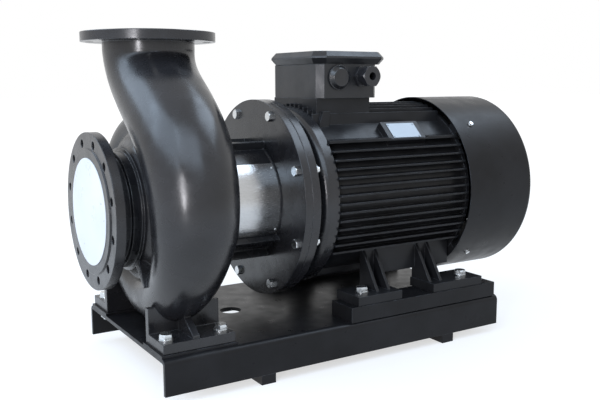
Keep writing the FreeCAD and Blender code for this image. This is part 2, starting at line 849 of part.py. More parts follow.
def stator_frame():
    """Finned shell with mounting feet, terminal box collar and nameplate pad."""
    core_r = frame_bore_r + frame_wall
    x0 = frame_x
    x1 = frame_end
    shell = rod(x0, x1, core_r)
    parts = [shell]
    root = frame_bore_r + frame_wall * 0.4
    for i in range(-side_fins, side_fins + 1):
        z = i * fin_pitch
        y0 = sqrt(root ** 2 - z ** 2)
        y1 = sqrt(fin_tip_r ** 2 - z ** 2)
        for side in (-1, 1):
            lo = min(side * y0, side * y1)
            hi = max(side * y0, side * y1)
            parts.append(block(x0, x1, lo, hi, z - fin_t / 2, z + fin_t / 2))
    for i in range(-top_fins, top_fins + 1):
        y = i * fin_pitch
        z0 = sqrt(root ** 2 - y ** 2)
        z1 = sqrt(fin_tip_r ** 2 - y ** 2)
        parts.append(block(x0, x1, y - fin_t / 2, y + fin_t / 2, z0, z1))
        parts.append(block(x0, x1, y - fin_t / 2, y + fin_t / 2, -z1 + 16, -z0))
    for side in (-1, 1):
        y1 = side * sqrt(fin_tip_r ** 2 - ledge_z ** 2)
        y0 = side * sqrt(root ** 2 - ledge_z ** 2)
        parts.append(block(x0, x1, min(y0, y1), max(y0, y1), ledge_z - 4, ledge_z + 4))
    parts.append(frame_collar())
    parts.append(plate_pad())
    parts += motor_feet()
    frame = joined(parts)
    frame = frame.cut(rod(x0 - 1, x1 + 1, frame_bore_r))
    wire_way = block(motor_x + box_x - 50, motor_x + box_x + 30, -60, 60, 0, collar_top + 1)
    frame = frame.cut(wire_way)
    frame = frame.cut(plate_frame(plate_size[0] + 34, plate_size[1] + 16, 24, shoulder_r))
    low = -motor_foot_drop
    for x, y in motor_bolt_places():
        frame = frame.cut(post(low - 1, low + motor_foot_t + 1, foot_bolt_r + 1.5, x, y))
    return frame


def frame_collar():
    """Raised seat for the terminal box, cast on top of the frame."""
    x = motor_x + box_x + collar_shift
    parts = [block(x - collar_half_len, x + collar_half_len, -collar_half_wid, collar_half_wid,
                   frame_bore_r * 0.86, collar_top)]
    front = x - collar_half_len
    low = frame_bore_r * 0.86
    corners = [(front, low), (front + 34, low), (front + 40, collar_top - 36), (front + 16, collar_top - 36)]
    points = [V(px, collar_half_wid - 2, z) for px, z in corners]
    lug = Part.Face(Part.makePolygon(points + points[:1])).extrude(Y * 12)
    return joined(parts + [lug, mirrored(lug)])


def plate_frame(width, height, depth, radius):
    """Rectangular slab on the upper shoulder, facing up and outwards on the -Y side."""
    slab = block(-width / 2, width / 2, -height / 2, height / 2, 0, depth)
    slab.rotate(V(0, 0, 0), X, plate_angle)
    out = V(0, -sin(radians(plate_angle)), cos(radians(plate_angle)))
    slab.translate(V(motor_x + plate_x, 0, 0) + out * radius)
    return slab


def plate_pad():
    return plate_frame(plate_size[0] + 34, plate_size[1] + 16, 26, shoulder_r - 26)


def nameplate():
    return plate_frame(plate_size[0], plate_size[1], plate_t, shoulder_r)


def nameplate_rivets():
    rivet = Part.makeCylinder(2.6, 1.2)
    places = []
    out = V(0, -sin(radians(plate_angle)), cos(radians(plate_angle)))
    across = V(0, cos(radians(plate_angle)), sin(radians(plate_angle)))
    for sx in (-1, 1):
        for sy in (-1, 1):
            place = V(motor_x + plate_x, 0, 0) + out * (shoulder_r + plate_t)
            place = place + X * (sx * (plate_size[0] / 2 - 5))
            places.append(place + across * (sy * (plate_size[1] / 2 - 5)))
    return grouped(rivet, places, out)


def motor_bolt_places():
    places = []
    for x in (motor_x + foot_c, motor_x + foot_c + foot_b):
        for y in (-foot_a / 2, foot_a / 2):
            places.append((x, y))
    return places


def motor_foot(x0, run, rib_x, side):
    """One cast foot: sole plate, upright web and two sloping gussets under the frame."""
    sole_top = -motor_foot_drop + motor_foot_t
    high = -0.66 * fin_tip_r
    sole = block(x0, x0 + run, motor_foot_in, motor_foot_out, -motor_foot_drop, sole_top)
    web_y = motor_foot_in + foot_web_t
    web = block(rib_x, rib_x + gusset_pitch, motor_foot_in, web_y, sole_top - 2, -0.6 * frame_bore_r)
    parts = [sole, web]
    for x in (rib_x, rib_x + gusset_pitch):
        toe = motor_foot_out - 26
        corners = [(motor_foot_in, sole_top - 2), (toe, sole_top - 2), (toe, sole_top),
                   (0.752 * fin_tip_r, high), (motor_foot_in, -0.6 * frame_bore_r)]
        points = [V(x - gusset_t / 2, y, z) for y, z in corners]
        parts.append(Part.Face(Part.makePolygon(points + points[:1])).extrude(X * gusset_t))
    foot = joined(parts)
    if side < 0:
        foot = mirrored(foot)
    return foot


def motor_feet():
    front = motor_x + foot_c
    rear = front + foot_b
    feet = []
    for side in (-1, 1):
        feet.append(motor_foot(front - motor_foot_lead, front_foot_len, front + gusset_pitch, side))
        feet.append(motor_foot(rear - rear_foot_lead, rear_foot_len, rear - rear_foot_lead + 10, side))
    rail = block(front + gusset_pitch, fan_cover_x - 2, motor_foot_in, motor_foot_in + foot_web_t,
                 -foot_rail_drop, -0.6 * frame_bore_r)
    return feet + [rail, mirrored(rail)]


def stator_core():
    return tube(core_mid - core_len / 2, core_mid + core_len / 2, frame_bore_r - 0.05, rotor_r + air_gap)


def stator_windings():
    """End turns that stand out of both ends of the stator core."""
    shapes = []
    low = rotor_r + 8
    high = frame_bore_r - 16
    for side in (-1, 1):
        x0 = core_mid + side * core_len / 2
        x1 = x0 + side * winding_w
        shapes.append(turned((x0, low + 6), (x0, high - 8), (x1 - side * 14, high), (x1, high - 12),
                             (x1, low + 10), (x1 - side * 14, low)))
    return Part.makeCompound(shapes)


def rotor_core():
    """Laminated rotor with end rings and stub blades."""
    x0 = core_mid - core_len / 2
    x1 = core_mid + core_len / 2
    body = turned((x0, shaft_core_r + 0.02), (x0, rotor_r), (x1, rotor_r), (x1, shaft_core_r + 0.02))
    rings = [tube(x0 - 18, x0 + 1, rotor_r - 6, rotor_r - 42),
             tube(x1 - 1, x1 + 18, rotor_r - 6, rotor_r - 42)]
    blades = []
    for y, z in on_circle(1.0, 8):
        blade = block(x0 - 40, x0 - 17, -3, 3, rotor_r - 40, rotor_r - 8)
        other = block(x1 + 17, x1 + 40, -3, 3, rotor_r - 40, rotor_r - 8)
        angle = degrees(atan2(y, z))
        blades += [turned_to(blade, angle), turned_to(other, angle)]
    return joined([body] + rings + blades)


def shaft():
    """One-piece shaft from the impeller nut to the cooling fan."""
    seat = discharge_x + outlet_w / 2 - hub_nose_len
    shoulder = discharge_x + outlet_w / 2 + shroud_t + 4
    neck_x = casing_back_x + seal_seat_w + 12
    core_x0 = core_mid - core_len / 2 - 44
    core_x1 = core_mid + core_len / 2 + 44
    body = turned(
        (seat - 20, 0), (seat - 20, 12), (seat - 18, 14), (seat + 1, 14), (seat + 1, shaft_impeller_r),
        (shoulder, shaft_impeller_r), (shoulder, shaft_seal_r), (neck_x, shaft_seal_r),
        (neck_x + 4, shaft_neck_r), (motor_x - 6, shaft_neck_r), (motor_x + 2, de_bore_r),
        (de_x + de_width, de_bore_r), (de_x + de_width, de_bore_r + 4), (core_x0, de_bore_r + 4),
        (core_x0 + 4, shaft_core_r), (core_x1, shaft_core_r), (core_x1, nde_bore_r + 8),
        (nde_x, nde_bore_r + 8), (nde_x, nde_bore_r), (nde_x + nde_width + 10, nde_bore_r),
        (nde_x + nde_width + 12, fan_seat_r), (shaft_end, fan_seat_r), (shaft_end, 0))
    key_x = seat + key_lead
    deep = shaft_impeller_r - key_seat
    slot = block(key_x, key_x + key_len, -key_w / 2, key_w / 2, deep, shaft_impeller_r + 5)
    return body.cut(slot)


def slinger():
    """Rubber ring that throws water off the shaft before the motor bearing."""
    x = lantern_flange_x - 70
    r = shaft_neck_r + 0.02
    return turned(
        (x, r), (x, r + 8), (x + 4, r + 24), (x + 7, r + 24), (x + 7, r + 8), (x + 14, r + 8), (x + 14, r))


def rear_shield():
    """End shield under the fan cover, with the rear bearing seat and cover lugs."""
    x = frame_end
    rim = frame_bore_r - register_gap
    seat_r = nde_outer_r + 0.02
    end = nde_x + nde_width
    body = turned(
        (x - 8, rim - 12), (x - 8, rim), (x, rim), (x, shoulder_r - 4), (x + 12, shoulder_r - 4),
        (x + 24, rim - 20), (x + 28, seat_r + 30), (end + 8, seat_r + 16), (end + 8, nde_bore_r + 2),
        (end, nde_bore_r + 2), (end, seat_r), (nde_x - 8, seat_r), (nde_x - 8, seat_r + 14),
        (x + 12, seat_r + 34), (x + 8, rim - 24))
    lugs = []
    for angle in (45, 135, 225, 315):
        lug = block(x + 2, x + 80, -16, 16, shoulder_r - 24, fan_cover_r - fan_cover_t - 0.5)
        lug = lug.cut(Part.makeCylinder(4 + clear, 60, V(x + lug_screw_x, 0, shoulder_r - 30), Z))
        lugs.append(turned_to(lug, angle))
    return joined([body] + lugs)


def cooling_fan():
    """Straight-bladed fan that blows the same either way round."""
    x0 = fan_x
    x1 = fan_x + fan_w
    hub_r2 = fan_seat_r + 16
    dish_r = fan_r * 0.84
    hub = turned(
        (x0 + 12, fan_seat_r + 0.02), (x0 + 12, hub_r2), (x0 + 32, hub_r2), (x0, dish_r),
        (x0 + 5, dish_r), (x0 + 38, hub_r2), (x1 - 8, hub_r2 - 2), (x1 - 8, fan_seat_r + 0.02))
    parts = [hub]
    for i in range(fan_blades):
        corners = [(x0 + 36, hub_r2 - 4), (x0 + 2, dish_r - 2), (x0 + 2, fan_r), (x1 - 12, fan_r),
                   (x1, fan_r * 0.72), (x1 - 12, hub_r2 - 4)]
        points = [V(x, -fan_blade_t / 2, r) for x, r in corners]
        blade = Part.Face(Part.makePolygon(points + points[:1])).extrude(Y * fan_blade_t)
        parts.append(turned_to(blade, 360.0 * i / fan_blades))
    return joined(parts)


def fan_cover():
    """Pressed steel cowl with a slotted air inlet in its end wall."""
    r = fan_cover_r
    t = fan_cover_t
    x0 = fan_cover_x
    x1 = fan_cover_end
    bend = fan_cover_bend
    body = turned(
        (x0, r - t), (x0, r), (x1 - bend, r), (x1 - 0.29 * bend, r - 0.29 * bend, x1, r - bend),
        (x1, 0), (x1 - t, 0), (x1 - t, r - bend),
        (x1 - t - 0.29 * (bend - t), r - t - 0.29 * (bend - t), x1 - bend, r - t))
    for inner, outer in ((60, 128), (140, 222)):
        slot = block(x1 - t - 1, x1 + 1, -5, 5, inner, outer)
        for i in range(grille_slots):
            body = body.cut(turned_to(slot, 360.0 * i / grille_slots))
    for angle in (45, 135, 225, 315):
        hole = Part.makeCylinder(4.5, 60, V(frame_end + lug_screw_x, 0, r - 40), Z)
        body = body.cut(turned_to(hole, angle))
    return body


def fan_cover_screws():
    """Four screws that hold the cowl on the lugs of the rear shield."""
    head = joined([Part.makeCylinder(7.5, 2.0), hexagon(13, 7, 1), Part.makeCylinder(4, 21, V(0, 0, -20))])
    shapes = []
    for y, z in on_circle(1.0, 4, 45):
        out = V(0, y, z)
        shapes.append(aimed(head, V(frame_end + lug_screw_x, 0, 0) + out * (fan_cover_r + 0.1), out))
    return Part.makeCompound(shapes)


# Terminal box


def cut_corner_ring(x, z, a, b, c):
    """Closed outline of a rectangle with cut-off corners: half length a, half width b, corner c."""
    plan = [(c - a, -b), (a - c, -b), (a, c - b), (a, b - c), (a - c, b), (c - a, b), (-a, b - c),
            (-a, c - b)]
    points = [V(x + px, py, z) for px, py in plan]
    return Part.makePolygon(points + points[:1])


def cut_corner_slab(half_len, half_wid, corner, z0, z1):
    """Slab with cut-off corners, centred on the terminal box."""
    outline = cut_corner_ring(motor_x + box_x, z0, half_len, half_wid, corner)
    return Part.Face(outline).extrude(Z * (z1 - z0))


def terminal_box():
    z0 = collar_top
    z1 = z0 + box_h
    body = cut_corner_slab(box_half_len, box_half_wid, box_corner, z0, z1)
    t = box_wall
    room = cut_corner_slab(box_half_len - t, box_half_wid - t, box_corner - 3, z0 + t, z1 + 1)
    body = body.cut(room)
    x = motor_x + box_x
    for px, py in lid_screw_places():
        body = body.fuse(post(z0 + 2, z1, 10, px, py))
        body = body.cut(post(z1 - 22, z1 + 1, lid_screw_r + clear, px, py))
    body = body.cut(block(x - 50, x + 20, -50, 50, z0 - 1, z0 + box_wall + 1))
    y = -box_half_wid
    for px, pz, r in ((gland_x, gland_z, gland_r - 8), (plug_x, plug_z, plug_r - 12)):
        hole = Part.makeCylinder(r + clear, 30, V(x + px, y - 10, z0 + pz), Y)
        body = body.cut(hole)
    return body.removeSplitter()


def terminal_gasket():
    z0 = collar_top + box_h
    outer = cut_corner_slab(box_half_len, box_half_wid, box_corner, z0, z0 + gasket_t)
    inner = cut_corner_slab(box_half_len - 30, box_half_wid - 30, box_corner, z0 - 1, z0 + gasket_t + 1)
    ring = outer.cut(inner)
    for x, y in lid_screw_places():
        ring = ring.cut(post(z0 - 1, z0 + gasket_t + 1, lid_screw_r + 1, x, y))
    return ring


def lid_screw_places():
    x = motor_x + box_x
    px = box_half_len - lid_screw_in
    py = box_half_wid - lid_screw_in
    return [(x + sx * px, sy * py) for sx in (-1, 1) for sy in (-1, 1)]


def terminal_lid():
    """Cast lid with cut corners, a sloping rim and a hollow underside."""
    z0 = collar_top + box_h + gasket_t
    x = motor_x + box_x + lid_shift
    low = cut_corner_ring(x, z0, lid_half_len - 12, lid_half_wid - 12, lid_corner - 5)
    mid = cut_corner_ring(x, z0 + 0.45 * lid_h, lid_half_len, lid_half_wid, lid_corner)
    high = cut_corner_ring(x, z0 + 0.6 * lid_h, lid_half_len - 1, lid_half_wid - 1, lid_corner)
    top = cut_corner_ring(x, z0 + lid_h, lid_half_len - 12, lid_half_wid - 12, lid_corner - 4)
    body = Part.makeLoft([low, mid, high, top], True, True)
    body = body.cut(cut_corner_slab(box_half_len - 34, box_half_wid - 34, box_corner, z0 - 1, z0 + 12))
    for px, py in lid_screw_places():
        body = body.cut(post(z0 - 1, z0 + lid_h + 1, lid_screw_r + clear, px, py))
        body = body.cut(post(z0 + lid_h - 4, z0 + lid_h + 1, 9, px, py))
    return body


def lid_screws():
    z = collar_top + box_h + gasket_t + lid_h - 4
    screw = joined([hexagon(11, 5, 0.8), Part.makeCylinder(lid_screw_r, lid_h + 13, V(0, 0, -lid_h - 12))])
    return grouped(screw, [V(x, y, z) for x, y in lid_screw_places()], Z)


def terminal_board():
    """Moulded board that carries the six terminal studs."""
    z0 = collar_top + box_wall
    x = motor_x + box_x
    board = block(x + 26, x + 86, -58, 58, z0, z0 + 22)
    for px, py in stud_places():
        board = board.cut(post(z0 + 6, z0 + 23, stud_r + clear, px, py))
    return board


def stud_places():
    x = motor_x + box_x
    return [(x + px, py) for px in (42, 70) for py in (-36, 0, 36)]


def terminal_studs():
    z0 = collar_top + box_wall + 22
    stud = joined([Part.makeCylinder(stud_r, 44, V(0, 0, -15)), hexagon(13, 6)])
    return grouped(stud, [V(x, y, z0) for x, y in stud_places()], Z)


def cable_gland():
    """Cable gland screwed into the box wall, with its domed clamping nut and free bore."""
    x = motor_x + box_x + gland_x
    z = collar_top + gland_z
    y = -box_half_wid
    neck = Part.makeCylinder(gland_r - 8, 20, V(0, 0, -10))
    body = hexagon(2 * gland_r - 4, 12)
    nut = Part.makeCylinder(gland_r - 4, 24, V(0, 0, 12))
    dome = hexagon(2 * gland_r - 4, 17, 3)
    dome.translate(V(0, 0, 35))
    gland = joined([neck, body, nut, dome]).cut(Part.makeCylinder(gland_bore_r, 90, V(0, 0, -20)))
    return aimed(gland, V(x, y, z), V(0, -1, 0))


def blanking_plug():
    """Round-headed plug in the unused cable entry."""
    x = motor_x + box_x + plug_x
    z = collar_top + plug_z
    y = -box_half_wid
    stem = Part.makeCylinder(plug_r - 12, 12, V(0, 0, -10))
    rim = Part.makeCylinder(plug_r, 5)
    crown = Part.makeCone(plug_r - 2, plug_r - 11, 10, V(0, 0, 5))
    return aimed(joined([stem, rim, crown]), V(x, y, z), V(0, -1, 0))


# Base frame


def base_plate():
    """Folded plate with turned-down sides."""
    w = base_half_wid
    t = base_t
    r = base_bend_r
    top = base_top
    low = top - skirt_h
    k = 1 - sqrt(0.5)

    def edge_chain(half, crown, radius):
        left = V(base_x0, -half, low)
        points = [left, V(base_x0, -half, crown - radius)]
        mid = V(base_x0, -half + k * radius, crown - k * radius)
        end = V(base_x0, -half + radius, crown)
        arc = Part.Arc(points[1], mid, end).toShape()
        far = V(base_x0, half - radius, crown)
        mid_2 = V(base_x0, half - k * radius, crown - k * radius)
        down = V(base_x0, half, crown - radius)
        arc_2 = Part.Arc(far, mid_2, down).toShape()
        right = V(base_x0, half, low)
        side_1 = Part.makeLine(left, points[1])
        side_2 = Part.makeLine(down, right)
        return [side_1, arc, Part.makeLine(end, far), arc_2, side_2]

    outer = edge_chain(w, top, r)
    inner = edge_chain(w - t, top - t, r - t)
    close_1 = Part.makeLine(V(base_x0, w, low), V(base_x0, w - t, low))
    close_2 = Part.makeLine(V(base_x0, -w + t, low), V(base_x0, -w, low))
    outline = Part.Wire(Part.__sortEdges__(outer + [close_1] + inner + [close_2]))
    plate = Part.Face(outline).extrude(X * base_len)
    plate = plate.cut(post(top - t - 1, top + 1, grout_hole_r, grout_x, 10))
    for x, y in pump_bolt_places() + motor_bolt_places():
        plate = plate.cut(post(top - t - 1, top + 1, foot_bolt_r + 0.5, x, y))
    return plate


def cross_foot(x):
    """Bar across the underside of the base with a foundation hole near each end."""
    low = base_top - skirt_h - foot_bar_h
    bar = block(x - foot_bar_w / 2, x + foot_bar_w / 2, -base_half_wid, base_half_wid, low, low + foot_bar_h)
    for y in (-anchor_spread / 2, anchor_spread / 2):
        bar = bar.cut(post(low - 1, low + foot_bar_h + 1, anchor_hole_r, x, y))
    return bar


def pump_bolt_places():
    places = []
    for x in (pump_foot_x - pump_bolt_pitch / 2, pump_foot_x + pump_bolt_pitch / 2):
        for y in (-pump_bolt_spread / 2, pump_bolt_spread / 2):
            places.append((x, y))
    return places


def pump_pads():
    """Machined pads welded on the base under the pump feet."""
    shapes = []
    for side in (-1, 1):
        y0 = min(side * (pump_foot_in - 6), side * (pump_foot_out + 4))
        y1 = max(side * (pump_foot_in - 6), side * (pump_foot_out + 4))
        half = pump_foot_len / 2 + 6
        pad = block(pump_foot_x - half, pump_foot_x + half, y0, y1, base_top, base_top + pad_t)
        for x, y in pump_bolt_places():
            pad = pad.cut(post(base_top - 1, base_top + pad_t + 1, foot_bolt_r + 0.5, x, y))
        shapes.append(pad)
    return Part.makeCompound(shapes)


def motor_packer(side):
    """Packing rail that lifts the motor feet to shaft height."""
    y0 = base_half_wid - 3 - packer_wid
    rail = block(packer_x0, packer_x0 + packer_len, y0, base_half_wid - 3, base_top, -motor_foot_drop)
    if side < 0:
        rail = mirrored(rail)
    for x, y in motor_bolt_places():
        rail = rail.cut(post(base_top - 1, -motor_foot_drop + 1, foot_bolt_r + 0.5, x, y))
    return rail


def foot_bolts(places, seat, low):
    """Bolts through a foot with their heads on washers."""
    top = seat + 0.3 * foot_bolt_r
    bolt = hex_bolt(foot_bolt_r, top - low)
    return grouped(bolt, [V(x, y, top) for x, y in places], Z)


def foot_washers(places, seat):
    return grouped(washer(foot_bolt_r), [V(x, y, seat) for x, y in places], Z)


def foot_nuts(places):
    return grouped(hex_nut(foot_bolt_r), [V(x, y, base_top - base_t) for x, y in places], V(0, 0, -1))


pump_seat = -pump_foot_drop + pump_foot_t
motor_seat = -motor_foot_drop + motor_foot_t
bolt_end = base_top - base_t - 22.0


def cover_bolt_set():
    bolt = hex_bolt(cover_bolt_r, lantern_front_t + cover_flange_t + 22)
    places = [V(lantern_x + lantern_front_t, y, z) for y, z in straddled(cover_pcd_r, cover_bolts)]
    return grouped(bolt, places, X)


def flange_bolt_set():
    bolt = hex_bolt(motor_bolt_r, lantern_flange_t + motor_flange_t + 20)
    places = [V(lantern_flange_x, y, z) for y, z in straddled(motor_pcd_r, motor_bolts)]
    return grouped(bolt, places, V(-1, 0, 0))


def flange_nut_set():
    places = [V(motor_x + motor_flange_t, y, z) for y, z in straddled(motor_pcd_r, motor_bolts)]
    return grouped(hex_nut(motor_bolt_r), places, X)


def drain_plug():
    x = discharge_x + tube_r(bottom_angle) + drain_boss_out
    z = -spiral_base_r - tube_r(bottom_angle)
    plug = joined([Part.makeCylinder(drain_r, 16, V(0, 0, -15)), hexagon(24, 9, 1)])
    return aimed(plug, V(x, 0, z), X)


de_inner, de_outer = race_pair(de_x, de_bore_r, de_outer_r, de_width)
nde_inner, nde_outer = race_pair(nde_x, nde_bore_r, nde_outer_r, nde_width)

nodes = {
    "base_plate": base_plate(),
    "front_cross_foot": cross_foot(foot_bar_front),
    "rear_cross_foot": cross_foot(foot_bar_front + foot_bar_pitch),
    "pump_foot_pads": pump_pads(),
    "motor_packer_left": motor_packer(1),
    "motor_packer_right": motor_packer(-1),
    "volute_casing": volute_casing(),
    "suction_cap": suction_cap(),
    "wear_ring": wear_ring(),
    "impeller": impeller(),
    "impeller_key": impeller_key(),
    "impeller_nut": impeller_nut(),
    "casing_cover": casing_cover(),
    "cover_gasket": cover_gasket(),
    "seal_seat": seal_seat(),
    "seal_ring": seal_ring(),
    "seal_bellows": seal_bellows(),
    "drain_plug": drain_plug(),
    "cover_bolts": cover_bolt_set(),
    "lantern": lantern(),
    "window_guard_right": guard(),
    "window_guard_left": mirrored(guard()),
    "guard_screws": guard_screws(),
    "flange_bolts": flange_bolt_set(),
    "flange_nuts": flange_nut_set(),
    "shaft": shaft(),
    "shaft_slinger": slinger(),
    "drive_end_shield": drive_end_shield(),
    "drive_end_inner_race": de_inner,
    "drive_end_outer_race": de_outer,
    "drive_end_balls": ball_set(de_x, de_bore_r, de_outer_r, de_width),
    "drive_end_bearing_cap": bearing_cap(de_x + de_width + 4, de_outer_r, de_bore_r + 4),
    "stator_frame": stator_frame(),
    "stator_core": stator_core(),
    "stator_windings": stator_windings(),
    "rotor_core": rotor_core(),
    "rear_shield": rear_shield(),
    "rear_inner_race": nde_inner,
    "rear_outer_race": nde_outer,
    "rear_balls": ball_set(nde_x, nde_bore_r, nde_outer_r, nde_width),
    "cooling_fan": cooling_fan(),
    "fan_cover": fan_cover(),
    "fan_cover_screws": fan_cover_screws(),
    "terminal_box": terminal_box(),
    "terminal_gasket": terminal_gasket(),
    "terminal_lid": terminal_lid(),
    "lid_screws": lid_screws(),
    "terminal_board": terminal_board(),
    "terminal_studs": terminal_studs(),
    "cable_gland": cable_gland(),
    "blanking_plug": blanking_plug(),
    "nameplate": nameplate(),
    "nameplate_rivets": nameplate_rivets(),
    "pump_foot_bolts": foot_bolts(pump_bolt_places(), pump_seat, bolt_end),
    "pump_foot_washers": foot_washers(pump_bolt_places(), pump_seat),
    "pump_foot_nuts": foot_nuts(pump_bolt_places()),
    "motor_foot_bolts": foot_bolts(motor_bolt_places(), motor_seat, bolt_end),
    "motor_foot_washers": foot_washers(motor_bolt_places(), motor_seat),
    "motor_foot_nuts": foot_nuts(motor_bolt_places()),
}

os.makedirs("parts", exist_ok=True)
for name, shape in nodes.items():
    shape.translate(V(-origin_x, 0, shaft_height))
    shape.exportStep("parts/" + name + ".step")
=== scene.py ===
import bpy
import json
from math import cos, radians, sin
from mathutils import Matrix, Vector

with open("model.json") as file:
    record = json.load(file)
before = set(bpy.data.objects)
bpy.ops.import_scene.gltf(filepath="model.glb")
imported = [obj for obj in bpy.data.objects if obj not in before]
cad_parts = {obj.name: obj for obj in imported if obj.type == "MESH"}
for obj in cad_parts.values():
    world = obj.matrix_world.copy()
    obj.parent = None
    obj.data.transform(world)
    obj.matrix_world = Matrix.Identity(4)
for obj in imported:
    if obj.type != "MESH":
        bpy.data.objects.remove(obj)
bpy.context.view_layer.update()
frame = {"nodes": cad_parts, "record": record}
nodes = frame["nodes"]

# Camera of the photograph
camera_at = (-1.2338, -1.9279, 0.7544)
camera_turn = 31.914
camera_drop = 8.496
camera_roll = -0.148
camera_lens = 46.77
sensor_width = 36

# Paints and metals
black_cast = (0.0135, 0.0132, 0.0145)
black_motor = (0.0115, 0.0115, 0.0125)
black_sheet = (0.0095, 0.0093, 0.0102)
# Lighter grey-blue for the sharp edges of the black paint: partly worn paint, partly a painted highlight
# along the edges
wear_and_highlight_edge = (0.11, 0.12, 0.135)
zinc_grey = (0.66, 0.68, 0.69)
steel_grey = (0.52, 0.53, 0.54)
cap_white = (0.74, 0.75, 0.76)
box_nodes = ("terminal_box", "terminal_lid")
motor_nodes = ("stator_frame", "rear_shield")
# Width and ramp of those lighter edges, worn paint and painted edge highlight together
wear_and_highlight_radius = 0.0012
wear_and_highlight_from, wear_and_highlight_full = 0.985, 0.85

# Floor: its own colour, and the white that the camera and reflections see on it; that glow is weaker near
# the object, a painted shade round it, and stronger far out, painted light where the lamps fall off
floor_grey = (0.42, 0.42, 0.42)
floor_size = 80
glow_near = 0.6
glow_far = 0.97
far_floor = 4.0

# Sky: colour and strength of the light from all round
sky_colour = (0.82, 0.9, 1)
sky_strength = 0.4

# Lamps: middle of the object, and for each lamp its direction, distance, size, power and colour
lamp_target = (0, -0.05, 0.45)
lamps = {
    "sky_left": (148, 37, 3.5, (2.7, 1.9), 62, (0.62, 0.79, 1)),
    "sky_middle": (-168, 37, 3.5, (2.7, 1.9), 56, (0.62, 0.79, 1)),
    "sky_right": (-118, 42, 3.5, (2.7, 1.7), 50, (0.64, 0.8, 1)),
    "sky_top": (-15, 56, 3.6, (2.4, 1.8), 60, (0.66, 0.81, 1)),
    "window": (-141, 7, 4.2, (0.4, 1.3), 66, (0.96, 0.95, 1)),
}


class Paint:
    """Small builder for one node material."""

    def __init__(self, name):
        self.material = bpy.data.materials.new(name)
        self.material.use_nodes = True
        self.tree = self.material.node_tree
        self.shader = self.tree.nodes["Principled BSDF"]
        self.coords = self.tree.nodes.new("ShaderNodeTexCoord")

    def node(self, kind, **values):
        node = self.tree.nodes.new(kind)
        for key, value in values.items():
            if key in node.inputs.keys():
                node.inputs[key].default_value = value
            else:
                setattr(node, key, value)
        return node

    def link(self, source, target):
        self.tree.links.new(source, target)

    def mapped(self, scale):
        """Object coordinates, stretched by a scale along each axis."""
        mapping = self.node("ShaderNodeMapping")
        mapping.inputs["Scale"].default_value = scale
        self.link(self.coords.outputs["Object"], mapping.inputs["Vector"])
        return mapping.outputs["Vector"]

    def noise(self, scale, detail=4.0, stretch=(1, 1, 1)):
        noise = self.node("ShaderNodeTexNoise", Scale=scale, Detail=detail)
        self.link(self.mapped(stretch), noise.inputs["Vector"])
        return noise.outputs["Fac"]

    def ramp(self, value, low, high, out_low, out_high):
        spread = self.node("ShaderNodeMapRange")
        spread.inputs["From Min"].default_value = low
        spread.inputs["From Max"].default_value = high
        spread.inputs["To Min"].default_value = out_low
        spread.inputs["To Max"].default_value = out_high
        self.link(value, spread.inputs["Value"])
        return spread.outputs["Result"]

    def mix(self, value, low, high):
        """Colour between two colours or sockets, by a value."""
        mix = self.node("ShaderNodeMix", data_type="RGBA")
        for socket, colour in ((6, low), (7, high)):
            if isinstance(colour, tuple):
                mix.inputs[socket].default_value = (*colour, 1)
            else:
                self.link(colour, mix.inputs[socket])
        self.link(value, mix.inputs[0])
        return mix.outputs[2]

    def bump(self, value, distance, strength=1.0, under=None):
        bump = self.node("ShaderNodeBump", Strength=strength, Distance=distance)
        self.link(value, bump.inputs["Height"])
        if under:
            self.link(under, bump.inputs["Normal"])
        return bump.outputs["Normal"]

    def rounded(self, radius):
        """Normal that rounds the sharp edges, as on a casting or a folded sheet."""
        bevel = self.node("ShaderNodeBevel", samples=6)
        bevel.inputs["Radius"].default_value = radius
        return bevel.outputs["Normal"]

    def edges(self, radius):
        """1 along the sharp edges, where the paint is worn and carries a painted edge highlight, and 0
        elsewhere.
        """
        flat = self.node("ShaderNodeNewGeometry")
        both = self.node("ShaderNodeVectorMath", operation="DOT_PRODUCT")
        self.link(self.rounded(radius), both.inputs[0])
        self.link(flat.outputs["Normal"], both.inputs[1])
        return self.ramp(both.outputs["Value"], wear_and_highlight_from, wear_and_highlight_full, 0, 1)

    def times(self, first, second):
        product = self.node("ShaderNodeMath", operation="MULTIPLY")
        self.link(first, product.inputs[0])
        self.link(second, product.inputs[1])
        return product.outputs[0]

    def set(self, **sockets):
        for name, value in sockets.items():
            self.shader.inputs[name.replace("_", " ")].default_value = value


def black_paint(name, colour, rough, gloss, grain, waves, edge):
    """Black gloss paint on iron or sheet, with uneven cover, edges made lighter partly for worn paint and
    partly as a painted edge highlight, and a skin of its own.
    """
    paint = Paint(name)
    patches = paint.ramp(paint.noise(9, 5), 0.35, 0.65, 0, 1)
    dark = tuple(0.75 * c for c in colour)
    light = tuple(1.35 * c for c in colour)
    cover = paint.mix(patches, dark, light)
    # Random stretches of the sharp edges turn lighter: worn paint, and a painted highlight along the edges
    wear_and_highlight_mask = paint.times(paint.edges(wear_and_highlight_radius), paint.ramp(paint.noise(40, 3), 0.4, 0.62, 0, 1))
    paint.link(paint.mix(wear_and_highlight_mask, cover, wear_and_highlight_edge), paint.shader.inputs["Base Color"])
    paint.link(paint.ramp(paint.noise(26, 6), 0.3, 0.7, rough - 0.06, rough + 0.08),
               paint.shader.inputs["Roughness"])
    grains = paint.bump(paint.noise(200, 1), grain, 1.0, paint.rounded(edge))
    paint.link(paint.bump(paint.noise(14, 1), waves, 1.0, grains), paint.shader.inputs["Normal"])
    paint.set(Specular_IOR_Level=gloss)
    return paint.material


